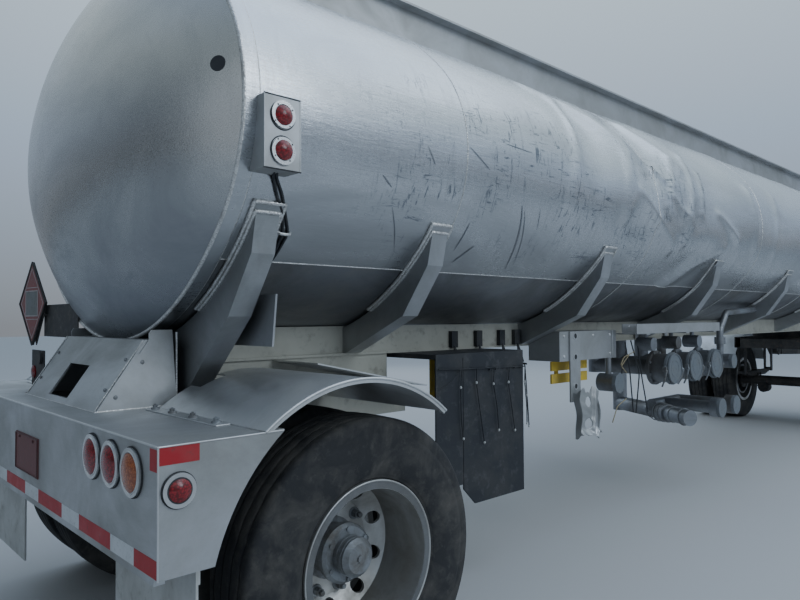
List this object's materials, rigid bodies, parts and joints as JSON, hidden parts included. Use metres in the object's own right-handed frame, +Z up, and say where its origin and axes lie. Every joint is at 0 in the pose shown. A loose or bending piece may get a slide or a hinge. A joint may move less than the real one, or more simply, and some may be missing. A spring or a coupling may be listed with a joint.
{
  "type": "tank trailer",
  "caption": "Full tank trailer with an oval aluminium tank on cradle arms, twin wheels, a steered front dolly with drawbar, and a fuel discharge manifold.",
  "frame": {"origin": "centre of the overall box at ground level", "axes": "+X forward along the drawbar, +Y to the left, +Z up"},
  "size_m": [12.28, 2.59, 3.108],
  "materials": {
    "tank_aluminium": "brushed, weathered",
    "plate_aluminium": "satin, stained",
    "arm_aluminium": "satin, dull",
    "fender_aluminium": "bright mill finish",
    "frame_paint": "aged cream paint",
    "lamp_chrome": "polished",
    "red_lens": "clear red",
    "amber_lens": "clear amber",
    "plate_blank": "dark red-brown paint",
    "placard_black": "dusty black paint, blank plate",
    "yellow_paint": "chipped and dirty",
    "pale_rubber": "dusty pale flap",
    "black_rubber": "dusty black sheet",
    "pipe_aluminium": "dirty cast aluminium",
    "cap_grey": "dull grey",
    "black_steel": "dusty black paint",
    "tyre_rubber": "worn, dusty",
    "wheel_aluminium": "dusty satin",
    "hub_steel": "oily grey, rusty nuts"
  },
  "bodies": {
    "chassis": {"tank_shell": "tank_aluminium", "tank_bands": "tank_aluminium", "overturn_rails": "plate_aluminium", "manhole_collars": "plate_aluminium", "cradle_arms_right": "arm_aluminium", "cradle_arms_left": "arm_aluminium", "frame_rails": "frame_paint", "rear_beams": "frame_paint", "frame_crossmembers": "frame_paint", "rear_box": "plate_aluminium", "box_hood": "plate_aluminium", "lamp_rings": "lamp_chrome", "lenses_red": "red_lens", "lenses_amber": "amber_lens", "shell_lamp_boxes": "plate_aluminium", "rear_plate": "plate_blank", "left_placard": "placard_black", "rear_fenders": "fender_aluminium", "rear_flaps": "pale_rubber", "side_flaps": "black_rubber", "yellow_guards": "yellow_paint", "hanger_brackets": "plate_aluminium", "discharge_pipes": "pipe_aluminium", "outlet_caps": "cap_grey", "pipe_tray": "plate_aluminium", "valve_box": "plate_aluminium", "turntable_upper": "black_steel", "rear_axle": "black_steel", "rear_springs": "black_steel"},
    "dolly": {"turntable_lower": "black_steel", "dolly_frame": "black_steel", "front_axle": "black_steel", "front_springs": "black_steel", "front_fenders": "fender_aluminium"},
    "drawbar": {"drawbar_frame": "black_steel", "drawbar_eye": "black_steel", "drawbar_leg": "black_steel"},
    "rear_right_wheels": {"rear_right_tyres": "tyre_rubber", "rear_right_discs": "wheel_aluminium", "rear_right_hub": "hub_steel"},
    "rear_left_wheels": {"rear_left_tyres": "tyre_rubber", "rear_left_discs": "wheel_aluminium", "rear_left_hub": "hub_steel"},
    "front_right_wheels": {"front_right_tyres": "tyre_rubber", "front_right_discs": "wheel_aluminium", "front_right_hub": "hub_steel"},
    "front_left_wheels": {"front_left_tyres": "tyre_rubber", "front_left_discs": "wheel_aluminium", "front_left_hub": "hub_steel"},
    "lid_1": {"manhole_lid_1": "plate_aluminium"},
    "lid_2": {"manhole_lid_2": "plate_aluminium"},
    "lid_3": {"manhole_lid_3": "plate_aluminium"}
  },
  "joints": [
    {"name": "dolly_steer", "type": "hinge", "parent": "chassis", "child": "dolly", "pos_m": [3.194, 0, 1.1], "axis": [0, 0, 1], "range_deg": [-80, 80]},
    {"name": "rear_right_spin", "type": "hinge", "parent": "chassis", "child": "rear_right_wheels", "pos_m": [-5.266, 0, 0.525], "axis": [0, 1, 0], "continuous": true},
    {"name": "rear_left_spin", "type": "hinge", "parent": "chassis", "child": "rear_left_wheels", "pos_m": [-5.266, 0, 0.525], "axis": [0, 1, 0], "continuous": true},
    {"name": "front_right_spin", "type": "hinge", "parent": "dolly", "child": "front_right_wheels", "pos_m": [3.194, 0, 0.525], "axis": [0, 1, 0], "continuous": true},
    {"name": "front_left_spin", "type": "hinge", "parent": "dolly", "child": "front_left_wheels", "pos_m": [3.194, 0, 0.525], "axis": [0, 1, 0], "continuous": true},
    {"name": "drawbar_lift", "type": "hinge", "parent": "dolly", "child": "drawbar", "pos_m": [3.954, 0, 0.9], "axis": [0, -1, 0], "range_deg": [0, 20]},
    {"name": "lid_1_open", "type": "hinge", "parent": "chassis", "child": "lid_1", "pos_m": [-4.006, 0.291, 3.046], "axis": [-1, 0, 0], "range_deg": [0, 100]},
    {"name": "lid_2_open", "type": "hinge", "parent": "chassis", "child": "lid_2", "pos_m": [-1.106, 0.291, 3.046], "axis": [-1, 0, 0], "range_deg": [0, 100]},
    {"name": "lid_3_open", "type": "hinge", "parent": "chassis", "child": "lid_3", "pos_m": [1.794, 0.291, 3.046], "axis": [-1, 0, 0], "range_deg": [0, 100]}
  ]
}
